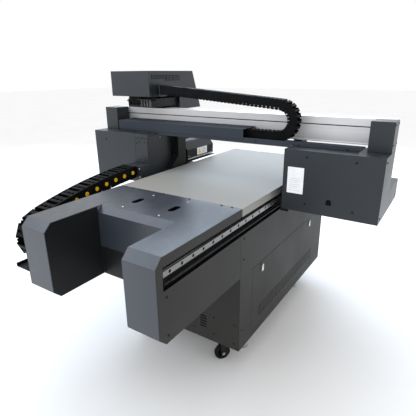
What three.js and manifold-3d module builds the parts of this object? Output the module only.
// Flatbed UV printer: fixed print table, travelling gantry, print carriage with lifting head.
// Millimetres, +Z up, +X to the right along the gantry beam, +Y from the front arms to the rear.
// The floor is Z = 0 and the origin is under the middle of the machine.
import * as THREE from 'three';
import { mergeVertices } from 'three/addons/utils/BufferGeometryUtils.js';
import Module from 'manifold-3d';

const wasm = await Module();
wasm.setup();

// ---- Driving dimensions -------------------------------------------------------------------

const GAP = 0.4; // between pieces that touch
const SHEET = 2; // panel thickness
const COVER_SHEET = 3; // folded covers

// Base
const HALF_WIDTH = 318;
const LENGTH = 1578;
const TABLE_TOP = 790;
const TABLE_THICKNESS = 33;
const TABLE_FRONT = 510;
const TABLE_REAR = 1545;
const ARM_INNER = 185; // inner face of each front arm
const ARM_BOTTOM = 494;
const CHAMFER = 30;
const RECESS_FACE = 241; // front face of the middle cover, between the arms
const RECESS_CHAMFER = 26;
const RECESS_STEP = 619; // lower edge of the middle cover
const SEAM = 500; // joint between arm panels and cabinet panels
const SLOT_BOTTOM = 679;
const SLOT_FRONT = 28;
const CABINET_BOTTOM = 134;
const HANDLE_SLOT = { x: 93, y: 375, length: 64, width: 28 };

// Side door
const DOOR = { front: 615, rear: 1426, bottom: 165, top: 486, gap: 1.5 };
const LATCH = { inset: 92, drop: 34, width: 18, height: 30, proud: 5 };

// Frame and running gear
const BEAM_INNER = 237;
const BEAM_OUTER = 297;
const FRAME_FRONT = 36;
const FRAME_REAR = 1560;
const FRAME_TOP = TABLE_TOP - TABLE_THICKNESS - GAP;
const FRAME_BAR = { bottom: 560, top: 600 }; // lower of the two beams on each side
const RAIL_WEB = { bottom: 590, top: 700, thickness: 8 };
const CROSS_MEMBER = { top: 640, width: 52, y: [262, 700, 1150, 1508] };
const POST = { inner: 247, y: [506, 1508] };
const FLOOR_PLATE = 6;
const CABINET_FRONT_TOP = 559;
const RAIL = { z: 728, height: 20, depth: 15, front: 36, rear: 1540 };
const SCREW = { x: 308.5, z: 694, radius: 6, front: 40, rear: 1540 };
const CASTER = { x: 215, frontY: 590, rearY: 1480, wheelRadius: 37.5, wheelWidth: 24, lift: 2 };
const CASTER_TRAIL = { x: -19, y: -26 };
const FOOT = { x: 230, frontY: 700, rearY: 1370, radius: 30, rodRadius: 7 };

// Gantry
const HOUSING = { inner: 370, outer: 758, front: 762, step: 950, rear: 1189, bottom: 727, top: 984 };
const HOUSING_REAR_TOP = 815; // rear box of the right housing
const STATION_TOP = 766; // lower rear box of the left housing, under the parked head
const BEAM = { half: 744, front: 964, rear: 1044, bottom: 992, top: 1098 };
const CAP = { inner: 670, front: 857, rear: 950, top: 1102 };
const TRAY = { left: -640, right: 645, front: 840, floor: 986.5, lip: 1001, skirt: 976 };
const TRAY_COVER = { right: 138, top: 1038 };
const UPRIGHT = { inner: 331, front: 850, rear: 1150, foot: 684, shoulder: 745 };
const COLUMN = { rear: 1036, rearFoot: 785, frontKnee: 850 }; // upper part of the upright
const GUIDE_BLOCK = { fronts: [860, 1060], length: 80, bottom: 706, top: 750 };
const SCREW_NUT = { front: 930, rear: 1010, bottom: 685, top: 704 };
const RUNNING_GAP = 0.5; // between a guide block and its rail
const X_RAIL = { half: 650, z: 1050, height: 60, depth: 15 };
const BELT = { half: 655, gap: 4, width: 12, z: 1086, thickness: 2 };
const STATION = { left: -650, right: -420, front: 1070, height: 14, wall: 10, floor: 6 };

// Carriage and head
const CARRIAGE = { left: -676, right: -408, front: 840, rear: 1224, rearFoot: 1302, top: 1292 };
const CARRIAGE_FRONT_EDGE = 1165;
const CARRIAGE_REAR_EDGE = 1085;
const CARRIAGE_NOTCH = 1093;
const SADDLE = { left: 86, right: 18, front: 870, rear: 1105, bottom: 10, top: 1152 };
const SADDLE_BACK = { gap: 24, thickness: 14, bottom: 1000, top: 1130 };
const SADDLE_GUIDE = { gap: 3, depth: 27, bottom: 1008, top: 1084 };
const HEAD = { left: -655, right: -415, front: 1110, rear: 1325, bottom: 800, top: 935 };
const HEAD_NECK = { left: -580, right: -460, front: 1140, rear: 1180, top: 1160 };
const LAMP = { left: -412, right: -330, front: 1048, rear: 1322, bottom: 806, top: 905 };

// Energy chains
const X_CHAIN = { y0: 876, y1: 926, height: 46, radius: 69, centre: 284, bottom: 987, fixed: -300 };
const X_CHAIN_RISE = 0.08; // slope of the upper run towards the carriage
const Y_CHAIN = { x0: -484, x1: -400, height: 60, radius: 81, centre: 168, bottom: 530, fixed: 640 };
const Y_CHAIN_KNEE = { y: 360, rise: 44 }; // the upper run climbs steeply at first
const Y_CHAIN_END = { y: 700, rise: 81 }; // and meets its bracket on the gantry here
const Y_CHAIN_TRAY = { front: 46, rear: 1200, side: 4, lip: 14 };
const Y_BRACKET = { bottom: 764, top: 830 };
const X_BRACKET = { reach: 38, thickness: 4, front: 868, rear: 928, rise: 55 };

// ---- Materials ------------------------------------------------------------------------------

function material(color, roughness, metalness) {
  return () => new THREE.MeshStandardMaterial({ color, roughness, metalness });
}
const coverPaint = material(0x6f7580, 0.45, 0.1);
const sidePaint = material(0x3e3e3a, 0.55, 0.1);
const darkPaint = material(0x2a2c2e, 0.6, 0.1);
const housingPaint = material(0x4a5158, 0.5, 0.1);
const tableSurface = material(0xb9b8b2, 0.6, 0.2);
const aluminium = material(0xc9ccd0, 0.35, 0.8);
const steel = material(0xb0b4b8, 0.25, 1);
const frameSteel = material(0x55585c, 0.6, 0.5);
const blackPlastic = material(0x121314, 0.5, 0);
const rubber = material(0x1a1a1a, 0.85, 0);
const zinc = material(0xa8abad, 0.4, 0.9);

// ---- Geometry helpers -----------------------------------------------------------------------

function box([x0, x1], [y0, y1], [z0, z1]) {
  const geometry = new THREE.BoxGeometry(x1 - x0, y1 - y0, z1 - z0);
  return geometry.translate((x0 + x1) / 2, (y0 + y1) / 2, (z0 + z1) / 2);
}

function outline(points) {
  return new THREE.Shape(points.map(([a, b]) => new THREE.Vector2(a, b)));
}

function extrude(shape, depth) {
  return new THREE.ExtrudeGeometry(shape, { depth, bevelEnabled: false, curveSegments: 12 });
}

// An outline drawn in (Y, Z), swept from x0 to x1.
function alongX(shape, x0, x1) {
  const turn = new THREE.Matrix4().makeBasis(
    new THREE.Vector3(0, 1, 0), new THREE.Vector3(0, 0, 1), new THREE.Vector3(1, 0, 0));
  return extrude(shape, x1 - x0).applyMatrix4(turn).translate(x0, 0, 0);
}

// An outline drawn in (X, Z), swept from y0 to y1.
function alongY(shape, y0, y1) {
  const turn = new THREE.Matrix4().makeBasis(
    new THREE.Vector3(1, 0, 0), new THREE.Vector3(0, 0, 1), new THREE.Vector3(0, -1, 0));
  return extrude(shape, y1 - y0).applyMatrix4(turn).translate(0, y1, 0);
}

// An outline drawn in (X, Y), swept from z0 to z1.
function alongZ(shape, z0, z1) {
  return extrude(shape, z1 - z0).translate(0, 0, z0);
}

function cylinder(radius, length, segments = 24) {
  return new THREE.CylinderGeometry(radius, radius, length, segments);
}

function toSolid(geometry) {
  let bare = geometry.clone();
  bare.deleteAttribute('normal');
  bare.deleteAttribute('uv');
  bare = mergeVertices(bare, 1e-4);
  return new wasm.Manifold(new wasm.Mesh({
    numProp: 3,
    vertProperties: new Float32Array(bare.attributes.position.array),
    triVerts: new Uint32Array(bare.index.array),
  }));
}

function fromSolid(solid) {
  const mesh = solid.getMesh();
  const geometry = new THREE.BufferGeometry();
  geometry.setAttribute('position', new THREE.BufferAttribute(mesh.vertProperties, 3));
  geometry.setIndex(new THREE.BufferAttribute(mesh.triVerts, 1));
  geometry.computeVertexNormals();
  return geometry;
}

function join(...parts) {
  return fromSolid(parts.map(toSolid).reduce((a, b) => a.add(b)));
}

function cut(part, ...tools) {
  return fromSolid(tools.map(toSolid).reduce((a, b) => a.subtract(b), toSolid(part)));
}

// A range on the right side of the machine, or its mirror image on the left.
function sided(side, inner, outer) {
  return side > 0 ? [inner, outer] : [-outer, -inner];
}

// ---- Model --------------------------------------------------------------------------------

const printer = new THREE.Group();
printer.position.set(0, -LENGTH / 2, 0);

function add(name, geometry, paint, parent = printer) {
  const mesh = new THREE.Mesh(geometry, paint());
  mesh.name = name;
  parent.add(mesh);
  return mesh;
}

const SIDES = [['left', -1], ['right', 1]];

// Welded tube frame: two long beams, cross members, posts and a floor plate.
function weldedFrame() {
  const fullLength = [FRAME_FRONT, FRAME_REAR];
  const floorPlate = box([-HALF_WIDTH + 4, HALF_WIDTH - 4], [SEAM + 5, LENGTH - 4],
    [CABINET_BOTTOM, CABINET_BOTTOM + FLOOR_PLATE]);
  const parts = [floorPlate];
  for (const [, side] of SIDES) {
    const beamX = sided(side, BEAM_INNER, BEAM_OUTER);
    const webX = sided(side, BEAM_OUTER - RAIL_WEB.thickness, BEAM_OUTER);
    parts.push(
      box(beamX, fullLength, [RAIL_WEB.top - 3, FRAME_TOP]),
      box(beamX, fullLength, [FRAME_BAR.bottom, FRAME_BAR.top]),
      box(webX, fullLength, [RAIL_WEB.bottom, RAIL_WEB.top]),
    );
    for (const y of POST.y) {
      parts.push(box(sided(side, POST.inner, BEAM_OUTER), [y, y + CROSS_MEMBER.width],
        [CABINET_BOTTOM, FRAME_BAR.top]));
    }
  }
  for (const y of CROSS_MEMBER.y) {
    parts.push(box([-BEAM_OUTER, BEAM_OUTER], [y, y + CROSS_MEMBER.width],
      [FRAME_BAR.bottom, CROSS_MEMBER.top]));
  }
  return join(...parts);
}
add('welded_frame', weldedFrame(), frameSteel);

// Side outline of a front arm, in (Y, Z), shrunk by an inset.
function armOutline(inset, rear) {
  const cornerCut = CHAMFER - inset * 0.4;
  const front = inset;
  const top = TABLE_TOP - inset;
  const bottom = ARM_BOTTOM + inset;
  return [
    [front, bottom + cornerCut], [front + cornerCut, bottom], [rear, bottom],
    [rear, top], [front + cornerCut, top], [front, top - cornerCut],
  ];
}

// Folded arm cover: front, top, bottom and inner wall in one piece, open outwards and to the rear.
function armCover(side) {
  const outer = sided(side, ARM_INNER, HALF_WIDTH - SHEET - GAP);
  const hollow = sided(side, ARM_INNER + COVER_SHEET, HALF_WIDTH + 10);
  const rear = TABLE_FRONT - GAP;
  const shell = alongX(outline(armOutline(0, rear)), ...outer);
  const inside = alongX(outline(armOutline(COVER_SHEET, rear + 20)), ...hollow);
  // The inner wall ends behind the middle cover and the underside ends at the cabinet.
  const under = TABLE_TOP - COVER_SHEET;
  const wallRear = RECESS_FACE + 8;
  const wallEnd = alongX(outline([
    [wallRear, ARM_BOTTOM - 5], [rear + 20, ARM_BOTTOM - 5], [rear + 20, under],
    [wallRear + RECESS_CHAMFER, under], [wallRear, under - RECESS_CHAMFER],
  ]), ...sided(side, ARM_INNER - 5, ARM_INNER + COVER_SHEET));
  const floorEnd = box(sided(side, ARM_INNER - 5, HALF_WIDTH), [SEAM - GAP, rear + 20],
    [ARM_BOTTOM - 5, under]);
  return cut(shell, inside, wallEnd, floorEnd);
}

// Side panel of an arm with the front end of the rail slot.
function armSidePanel(side) {
  const plate = alongX(outline(armOutline(0, SEAM - GAP)), ...sided(side, HALF_WIDTH - SHEET, HALF_WIDTH));
  const slot = box(sided(side, HALF_WIDTH - 10, HALF_WIDTH + 10), [SLOT_FRONT, SEAM + 20],
    [SLOT_BOTTOM, TABLE_TOP - TABLE_THICKNESS]);
  return cut(plate, slot);
}

// Cover between the arms: top with two hand slots, chamfer and front face.
function middleCover() {
  const half = ARM_INNER - GAP;
  const rear = TABLE_FRONT - GAP;
  const sheetOutline = [
    [RECESS_FACE, RECESS_STEP], [RECESS_FACE + COVER_SHEET, RECESS_STEP],
    [RECESS_FACE + COVER_SHEET, TABLE_TOP - RECESS_CHAMFER - 1],
    [RECESS_FACE + RECESS_CHAMFER + 1, TABLE_TOP - COVER_SHEET],
    [rear, TABLE_TOP - COVER_SHEET], [rear, TABLE_TOP],
    [RECESS_FACE + RECESS_CHAMFER, TABLE_TOP], [RECESS_FACE, TABLE_TOP - RECESS_CHAMFER],
  ];
  const sheet = alongX(outline(sheetOutline), -half, half);
  return cut(sheet, handSlot(-HANDLE_SLOT.x), handSlot(HANDLE_SLOT.x));
}

function handSlot(x) {
  const { y, length, width } = HANDLE_SLOT;
  const r = width / 2;
  const reach = length / 2 - r;
  const shape = new THREE.Shape();
  shape.absarc(x, y + reach, r, 0, Math.PI);
  shape.absarc(x, y - reach, r, Math.PI, 2 * Math.PI);
  return alongZ(shape, TABLE_TOP - 10, TABLE_TOP + 10);
}

for (const [name, side] of SIDES) {
  add(`arm_cover_${name}`, armCover(side), coverPaint);
  add(`arm_side_panel_${name}`, armSidePanel(side), sidePaint);
}
add('middle_cover', middleCover(), coverPaint);
add('recess_panel', box([-ARM_INNER + GAP, ARM_INNER - GAP], [RECESS_FACE + 2, RECESS_FACE + 2 + SHEET],
  [ARM_BOTTOM, RECESS_STEP - GAP]), darkPaint);

// Cabinet panels.
const doorY = [DOOR.front, DOOR.rear];
const doorZ = [DOOR.bottom, DOOR.top];

function cabinetSide(side) {
  const plate = box(sided(side, HALF_WIDTH - SHEET, HALF_WIDTH), [SEAM + GAP, LENGTH],
    [CABINET_BOTTOM, SLOT_BOTTOM]);
  if (side < 0) return plate;
  const hole = box([HALF_WIDTH - 10, HALF_WIDTH + 10], [DOOR.front - DOOR.gap, DOOR.rear + DOOR.gap],
    [DOOR.bottom - DOOR.gap, DOOR.top + DOOR.gap]);
  return cut(plate, hole);
}
const betweenSides = [-HALF_WIDTH + SHEET + GAP, HALF_WIDTH - SHEET - GAP];
for (const [name, side] of SIDES) add(`cabinet_side_${name}`, cabinetSide(side), sidePaint);
add('cabinet_front', box(betweenSides, [SEAM + GAP, SEAM + GAP + SHEET],
  [CABINET_BOTTOM, CABINET_FRONT_TOP]), sidePaint);
add('cabinet_rear', box(betweenSides, [LENGTH - SHEET, LENGTH],
  [CABINET_BOTTOM, FRAME_TOP]), sidePaint);

// Side door, hinged along its lower edge, with two quarter-turn latches.
function doorPanel() {
  const panel = box([HALF_WIDTH - SHEET, HALF_WIDTH], doorY, doorZ);
  const bores = latchCentres().map((y) => box([HALF_WIDTH - 10, HALF_WIDTH + 10],
    [y - 5, y + 5], [latchZ() - 5, latchZ() + 5]));
  return cut(panel, ...bores);
}
function latchCentres() {
  return [DOOR.front + LATCH.inset, DOOR.rear - LATCH.inset];
}
function latchZ() {
  return DOOR.top - LATCH.drop;
}
add('side_door', doorPanel(), sidePaint);
['front', 'rear'].forEach((name, i) => {
  const y = latchCentres()[i];
  const z = latchZ();
  const face = box([HALF_WIDTH + GAP, HALF_WIDTH + LATCH.proud], [y - LATCH.width / 2, y + LATCH.width / 2],
    [z - LATCH.height / 2, z + LATCH.height / 2]);
  const stem = cylinder(4.5, 14, 16).rotateZ(Math.PI / 2).translate(HALF_WIDTH - 5, y, z);
  const tongue = box([HALF_WIDTH - 14, HALF_WIDTH - 11], [y - 6, y + 6], [z - 6, z + 30]);
  add(`door_latch_${name}`, join(face, stem, tongue), zinc);
});

// Print table and the cover strip behind it.
add('vacuum_table', box([-HALF_WIDTH, HALF_WIDTH], [TABLE_FRONT, TABLE_REAR],
  [TABLE_TOP - TABLE_THICKNESS, TABLE_TOP]), tableSurface);
add('rear_cover', box([-HALF_WIDTH, HALF_WIDTH], [TABLE_REAR + GAP, LENGTH],
  [TABLE_TOP - TABLE_THICKNESS, TABLE_TOP]), coverPaint);

// Linear rails and ball screws in the side slots.
function yRail(side) {
  const x = sided(side, BEAM_OUTER + GAP, BEAM_OUTER + RAIL.depth);
  return box(x, [RAIL.front, RAIL.rear], [RAIL.z - RAIL.height / 2, RAIL.z + RAIL.height / 2]);
}
function ballScrew(side) {
  const length = SCREW.rear - SCREW.front;
  const thread = cylinder(SCREW.radius, length, 20);
  const journal = cylinder(SCREW.radius - 2, 12, 20).translate(0, length / 2 + 5, 0);
  return join(thread, journal).translate(side * SCREW.x, SCREW.front + length / 2, SCREW.z);
}
for (const [name, side] of SIDES) {
  add(`y_rail_${name}`, yRail(side), steel);
  add(`ball_screw_${name}`, ballScrew(side), steel);
}

// Inside the cabinet.
const cabinetFloor = CABINET_BOTTOM + FLOOR_PLATE + GAP;
function vacuumBlower() {
  const volute = cylinder(120, 150, 32).translate(60, 1250, cabinetFloor + 121);
  const duct = box([20, 100], [1210, 1290], [cabinetFloor + 180, FRAME_TOP]);
  const base = box([-40, 160], [1190, 1310], [cabinetFloor, cabinetFloor + 30]);
  return join(volute, duct, base);
}
add('vacuum_blower', vacuumBlower(), darkPaint);
add('control_box', box([-220, 20], [640, 1000], [cabinetFloor, 420]), zinc);

// Casters: each has a swivelling fork and a rolling wheel.
function casterFork() {
  const top = CABINET_BOTTOM - GAP;
  const plate = box([-30, 30], [-30, 30], [top - 6, top]);
  const swivel = cylinder(20, 14, 24).rotateX(Math.PI / 2).translate(0, 0, top - 12);
  const crown = box([-45, 20], [-19, 19], [top - 24, top - 17]);
  const cheeks = [-1, 1].map((side) => box([-45, -10], [side * 17 - 2, side * 17 + 2],
    [CASTER.lift + 24, top - 20]));
  const axle = cylinder(5, 34, 16).translate(-trail(), 0, CASTER.lift + CASTER.wheelRadius);
  return join(plate, swivel, crown, ...cheeks, axle);
}
function casterWheel() {
  const tyre = cylinder(CASTER.wheelRadius, CASTER.wheelWidth, 40);
  const bore = cylinder(5.2, CASTER.wheelWidth + 10, 24);
  return cut(tyre, bore).translate(-trail(), 0, CASTER.lift + CASTER.wheelRadius);
}
function trail() {
  return Math.hypot(CASTER_TRAIL.x, CASTER_TRAIL.y);
}
for (const [end, y] of [['front', CASTER.frontY], ['rear', CASTER.rearY]]) {
  for (const [name, side] of SIDES) {
    const group = new THREE.Group();
    group.position.set(side * CASTER.x, y, 0);
    group.rotation.z = Math.atan2(-CASTER_TRAIL.y, -CASTER_TRAIL.x);
    printer.add(group);
    add(`caster_fork_${end}_${name}`, casterFork(), zinc, group);
    add(`caster_wheel_${end}_${name}`, casterWheel(), rubber, group);
  }
}

// Levelling feet stand on the floor and carry the frame.
function levellingFoot() {
  const points = [
    [0, 0], [FOOT.radius, 0], [FOOT.radius, 8], [FOOT.radius - 8, 14], [FOOT.rodRadius + 4, 18],
    [FOOT.rodRadius, 22], [FOOT.rodRadius, 104], [FOOT.rodRadius + 8, 104],
    [FOOT.rodRadius + 8, CABINET_BOTTOM - GAP], [0, CABINET_BOTTOM - GAP],
  ];
  const profile = points.map(([r, z]) => new THREE.Vector2(r, z));
  return new THREE.LatheGeometry(profile, 24).rotateX(Math.PI / 2);
}
for (const [end, y] of [['front', FOOT.frontY], ['rear', FOOT.rearY]]) {
  for (const [name, side] of SIDES) {
    const foot = add(`levelling_foot_${end}_${name}`, levellingFoot(), zinc);
    foot.position.set(side * FOOT.x, y, 0);
  }
}

// ---- Gantry ---------------------------------------------------------------------------------

// Housing outline in (Y, Z): tall front part and a lower rear box.
function housingOutline(inset, rearTop) {
  return [
    [HOUSING.front + inset, HOUSING.bottom - (inset ? 10 : 0)],
    [HOUSING.rear - inset, HOUSING.bottom - (inset ? 10 : 0)],
    [HOUSING.rear - inset, rearTop - inset], [HOUSING.step - inset, rearTop - inset],
    [HOUSING.step - inset, HOUSING.top - inset], [HOUSING.front + inset, HOUSING.top - inset],
  ];
}

// Sheet housing, open underneath.
function housing(side) {
  const rearTop = side > 0 ? HOUSING_REAR_TOP : STATION_TOP;
  const shell = alongX(outline(housingOutline(0, rearTop)), ...sided(side, HOUSING.inner, HOUSING.outer));
  const hollow = alongX(outline(housingOutline(COVER_SHEET, rearTop)),
    ...sided(side, HOUSING.inner + COVER_SHEET, HOUSING.outer - COVER_SHEET));
  return cut(shell, hollow);
}

// Upright casting that carries the beam, with its guide blocks and screw nut in the side slot.
function upright(side) {
  const { inner, front, rear, foot, shoulder } = UPRIGHT;
  const beamSeat = BEAM.bottom - GAP;
  const columnFront = BEAM.front + 1;
  const web = alongX(outline([
    [front, foot], [rear, foot], [rear, shoulder], [COLUMN.rear, COLUMN.rearFoot],
    [COLUMN.rear, beamSeat], [columnFront, beamSeat], [columnFront, COLUMN.frontKnee], [front, shoulder],
  ]), ...sided(side, inner, HOUSING.inner - GAP));
  const blockX = sided(side, BEAM_OUTER + 3, inner + 2);
  const blocks = GUIDE_BLOCK.fronts.map((y) => box(blockX, [y, y + GUIDE_BLOCK.length],
    [GUIDE_BLOCK.bottom, GUIDE_BLOCK.top]));
  const nut = box(blockX, [SCREW_NUT.front, SCREW_NUT.rear], [SCREW_NUT.bottom, SCREW_NUT.top]);
  const railX = sided(side, BEAM_OUTER - 5, BEAM_OUTER + RAIL.depth + RUNNING_GAP);
  const railHalf = RAIL.height / 2 + RUNNING_GAP;
  const railSpace = box(railX, [front - 100, rear + 100], [RAIL.z - railHalf, RAIL.z + railHalf]);
  const screwBore = cylinder(SCREW.radius + 0.3, rear - front + 200, 20)
    .translate(side * SCREW.x, (front + rear) / 2, SCREW.z);
  return cut(join(web, ...blocks, nut), railSpace, screwBore);
}

// Hollow box that closes the end of the beam, open underneath.
function endCap(side) {
  const shell = box(sided(side, CAP.inner, HOUSING.outer), [CAP.front, CAP.rear],
    [HOUSING.top + GAP, CAP.top]);
  const hollow = box(sided(side, CAP.inner + SHEET, HOUSING.outer - SHEET),
    [CAP.front + SHEET, CAP.rear - SHEET], [HOUSING.top - 10, CAP.top - SHEET]);
  return cut(shell, hollow);
}

// Extruded beam with a groove along its front and a lip along its lower edge.
function gantryBeam() {
  const { half, front, rear, bottom, top } = BEAM;
  const notchDepth = 3;
  const section = [
    [front, bottom + 6], [front - 3, bottom + 5], [front - 3, bottom], [rear, bottom], [rear, top],
    [front, top], [front, top - 31], [front + notchDepth, top - 31], [front + notchDepth, top - 35],
    [front, top - 35],
  ];
  return alongX(outline(section), -half, half);
}

// Chain tray: floor with a front lip, against the beam, and a skirt between the housings.
function chainTray() {
  const rear = BEAM.front - 3 - GAP;
  const bottom = TRAY.floor - SHEET;
  const front = [TRAY.front, TRAY.front + SHEET];
  const channel = alongX(outline([
    [front[0], bottom], [rear, bottom], [rear, TRAY.floor],
    [front[1], TRAY.floor], [front[1], TRAY.lip], [front[0], TRAY.lip],
  ]), TRAY.left, TRAY.right);
  const skirtHalf = HOUSING.inner - 3;
  return join(channel, box([-skirtHalf, skirtHalf], front, [TRAY.skirt, TRAY.floor]));
}

// Raised cover over the left half of the tray.
function trayCover() {
  const front = TRAY.front - SHEET - GAP;
  const rear = BEAM.front - GAP;
  const { top } = TRAY_COVER;
  const { bottom } = BEAM;
  const length = [TRAY.left - 3, TRAY_COVER.right];
  const sheet = alongX(outline([
    [front, bottom], [front + SHEET, bottom], [front + SHEET, top - SHEET], [rear, top - SHEET],
    [rear, top], [front, top],
  ]), ...length);
  const end = box([length[0], TRAY.left - GAP], [front, rear - 3], [bottom, top]);
  return join(sheet, end);
}

for (const [name, side] of SIDES) {
  add(`gantry_housing_${name}`, housing(side), housingPaint);
  add(`gantry_upright_${name}`, upright(side), darkPaint);
  add(`beam_cap_${name}`, endCap(side), housingPaint);
}
add('gantry_beam', gantryBeam(), aluminium);
add('chain_tray', chainTray(), housingPaint);
add('chain_tray_cover', trayCover(), coverPaint);

// Guide rail and toothed belt on the back of the beam.
const railY = [BEAM.rear + GAP, BEAM.rear + X_RAIL.depth];
const xRailZ = [X_RAIL.z - X_RAIL.height / 2, X_RAIL.z + X_RAIL.height / 2];
add('x_rail', box([-X_RAIL.half, X_RAIL.half], railY, xRailZ), steel);
const beltY = BEAM.rear + BELT.gap;
add('x_belt', box([-BELT.half, BELT.half], [beltY, beltY + BELT.width], [BELT.z, BELT.z + BELT.thickness]),
  blackPlastic);

// Capping station on the left housing's rear box, under the parked head.
function cappingStation() {
  const { left, right, front, height, wall, floor } = STATION;
  const rear = HOUSING.rear - 6;
  const tray = box([left, right], [front, rear], [STATION_TOP + GAP, STATION_TOP + height]);
  const well = box([left + wall, right - wall], [front + wall, rear - wall],
    [STATION_TOP + floor, STATION_TOP + height + 10]);
  return cut(tray, well);
}
add('capping_station', cappingStation(), blackPlastic);

// ---- Carriage -------------------------------------------------------------------------------

// Side outline in (Y, Z): cut away in front where the beam passes, rear face sloping outwards.
const carriageSide = [
  [CARRIAGE.front, CARRIAGE_FRONT_EDGE], [CARRIAGE_NOTCH, CARRIAGE_FRONT_EDGE],
  [CARRIAGE_NOTCH, CARRIAGE_REAR_EDGE], [CARRIAGE.rearFoot, CARRIAGE_REAR_EDGE],
  [CARRIAGE.rear, CARRIAGE.top], [CARRIAGE.front, CARRIAGE.top],
];
const carriageHollow = [
  [CARRIAGE.front + COVER_SHEET, CARRIAGE_REAR_EDGE - 10],
  [CARRIAGE.rearFoot - COVER_SHEET + 4, CARRIAGE_REAR_EDGE - 10],
  [CARRIAGE.rear - COVER_SHEET, CARRIAGE.top - COVER_SHEET],
  [CARRIAGE.front + COVER_SHEET, CARRIAGE.top - COVER_SHEET],
];

// Carriage cover: thin shell open underneath.
function carriageCover() {
  const shell = alongX(outline(carriageSide), CARRIAGE.left, CARRIAGE.right);
  const hollow = alongX(outline(carriageHollow), CARRIAGE.left + COVER_SHEET,
    CARRIAGE.right - COVER_SHEET);
  return cut(shell, hollow);
}

// Saddle over the beam with a back plate and the guide block that grips the rail.
function carriageSaddle() {
  const x = [CARRIAGE.left + SADDLE.left, CARRIAGE.right - SADDLE.right];
  const backY = BEAM.rear + SADDLE_BACK.gap;
  const guideY = BEAM.rear + SADDLE_GUIDE.gap;
  const bridge = box(x, [SADDLE.front, SADDLE.rear], [BEAM.top + SADDLE.bottom, SADDLE.top]);
  const back = box(x, [backY, backY + SADDLE_BACK.thickness], [SADDLE_BACK.bottom, SADDLE_BACK.top]);
  const guide = box(x, [guideY, guideY + SADDLE_GUIDE.depth], [SADDLE_GUIDE.bottom, SADDLE_GUIDE.top]);
  const railSpace = box([CARRIAGE.left, CARRIAGE.right],
    [BEAM.rear - 5, BEAM.rear + X_RAIL.depth + RUNNING_GAP],
    [xRailZ[0] - RUNNING_GAP, xRailZ[1] + RUNNING_GAP]);
  return cut(join(bridge, back, guide), railSpace);
}

add('carriage_cover', carriageCover(), housingPaint);
add('carriage_saddle', carriageSaddle(), blackPlastic);

// ---- Lifting head -----------------------------------------------------------------------------

function headBlock() {
  const body = box([HEAD.left, HEAD.right], [HEAD.front, HEAD.rear], [HEAD.bottom, HEAD.top]);
  const neck = box([HEAD_NECK.left, HEAD_NECK.right], [HEAD_NECK.front, HEAD_NECK.rear],
    [HEAD.top - 20, HEAD_NECK.top]);
  return join(body, neck);
}

// UV lamp housing with a sloping shoulder along its outer edge.
function uvLamp() {
  const { left, right, bottom, top } = LAMP;
  return alongY(outline([
    [left, bottom], [right, bottom], [right, top - 42], [right - 34, top], [left, top],
  ]), LAMP.front, LAMP.rear);
}

add('head_block', headBlock(), blackPlastic);
add('uv_lamp', uvLamp(), darkPaint);
add('head_base_plate', box([HEAD.left - 6, LAMP.right + 3], [LAMP.front - 8, HEAD.rear + 5],
  [HEAD.bottom - 6, HEAD.bottom - GAP]), aluminium);

// ---- Energy chains ------------------------------------------------------------------------------

// Half-ring with its straight stubs' ends on the line a = centre, bulging towards +a.
function bendOutline(centre, middle, inner, outer, direction) {
  const shape = new THREE.Shape();
  const start = -Math.PI / 2;
  const end = Math.PI / 2;
  if (direction > 0) {
    shape.absarc(centre, middle, outer, start, end, false);
    shape.absarc(centre, middle, inner, end, start, true);
  } else {
    shape.absarc(centre, middle, outer, -start, start + 2 * Math.PI, false);
    shape.absarc(centre, middle, inner, start + 2 * Math.PI, -start, true);
  }
  return shape;
}

function chainLevels(chain) {
  const outer = chain.radius + chain.height / 2;
  const inner = chain.radius - chain.height / 2;
  const middle = chain.bottom + outer;
  return { outer, inner, middle, top: middle + outer };
}

const xLevels = chainLevels(X_CHAIN);
const xSpan = [X_CHAIN.y0, X_CHAIN.y1];
add('x_chain_lower', box([X_CHAIN.fixed, X_CHAIN.centre - GAP], xSpan,
  [X_CHAIN.bottom, X_CHAIN.bottom + X_CHAIN.height]), blackPlastic);
add('x_chain_bend', alongY(bendOutline(X_CHAIN.centre, xLevels.middle, xLevels.inner, xLevels.outer, 1),
  ...xSpan), blackPlastic);

const bracketRight = CARRIAGE.right + X_BRACKET.reach;
function xChainUpper() {
  const start = bracketRight + GAP;
  const end = X_CHAIN.centre - GAP;
  const rise = (end - start) * X_CHAIN_RISE;
  return alongY(outline([
    [start, xLevels.top - X_CHAIN.height + rise], [end, xLevels.top - X_CHAIN.height],
    [end, xLevels.top], [start, xLevels.top + rise],
  ]), ...xSpan);
}
add('x_chain_upper', xChainUpper(), blackPlastic);

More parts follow.
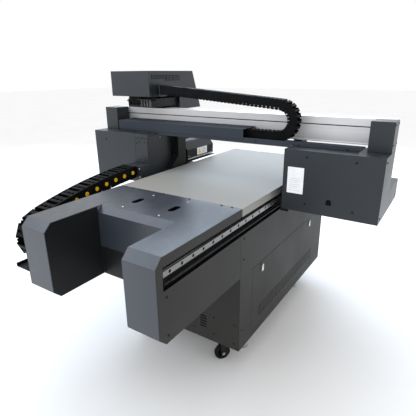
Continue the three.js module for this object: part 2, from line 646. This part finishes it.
// Angle bracket between the carriage and the chain's moving end.
function chainBracket() {
  const { thickness, front, rear } = X_BRACKET;
  const left = CARRIAGE.right + GAP;
  const z = [CARRIAGE_FRONT_EDGE, xLevels.top + X_BRACKET.rise];
  const flange = box([left, CARRIAGE.right + thickness], [front, rear], z);
  const web = box([left, bracketRight], [rear, rear + thickness], z);
  const end = box([bracketRight - thickness, bracketRight], [X_CHAIN.y0, rear + thickness], z);
  return join(flange, web, end);
}
add('chain_bracket', chainBracket(), aluminium);

const yLevels = chainLevels(Y_CHAIN);
const ySpan = [Y_CHAIN.x0, Y_CHAIN.x1];
add('y_chain_lower', box(ySpan, [Y_CHAIN.centre + GAP, Y_CHAIN.fixed],
  [Y_CHAIN.bottom, Y_CHAIN.bottom + Y_CHAIN.height]), blackPlastic);
add('y_chain_bend', alongX(bendOutline(Y_CHAIN.centre, yLevels.middle, yLevels.inner, yLevels.outer, -1),
  ...ySpan), blackPlastic);

function yChainUpper() {
  const start = Y_CHAIN.centre + GAP;
  const { top } = yLevels;
  const under = top - Y_CHAIN.height;
  return alongX(outline([
    [start, under], [Y_CHAIN_KNEE.y, under + Y_CHAIN_KNEE.rise],
    [Y_CHAIN_END.y, under + Y_CHAIN_END.rise], [Y_CHAIN_END.y, top + Y_CHAIN_END.rise],
    [Y_CHAIN_KNEE.y, top + Y_CHAIN_KNEE.rise], [start, top],
  ]), ...ySpan);
}
add('y_chain_upper', yChainUpper(), blackPlastic);

// Bracket box on the front of the left housing, and the tray under the chain.
add('y_chain_bracket', box([Y_CHAIN.x0, -HOUSING.inner], [Y_CHAIN_END.y + GAP, HOUSING.front - GAP],
  [Y_BRACKET.bottom, Y_BRACKET.top]), housingPaint);

function yChainTray() {
  const x0 = Y_CHAIN.x0 - Y_CHAIN_TRAY.side;
  const x1 = Y_CHAIN.x1 + Y_CHAIN_TRAY.side;
  const floor = Y_CHAIN.bottom - GAP;
  const under = floor - SHEET;
  const lip = floor + Y_CHAIN_TRAY.lip;
  const section = [
    [x0, lip], [x0, under], [-HALF_WIDTH - GAP, under], [-HALF_WIDTH - GAP, floor],
    [x1, floor], [x1, lip], [x1 - SHEET, lip], [x1 - SHEET, floor], [x0 + SHEET, floor], [x0 + SHEET, lip],
  ];
  return alongY(outline(section), Y_CHAIN_TRAY.front, Y_CHAIN_TRAY.rear);
}
add('y_chain_tray', yChainTray(), darkPaint);

export default printer;
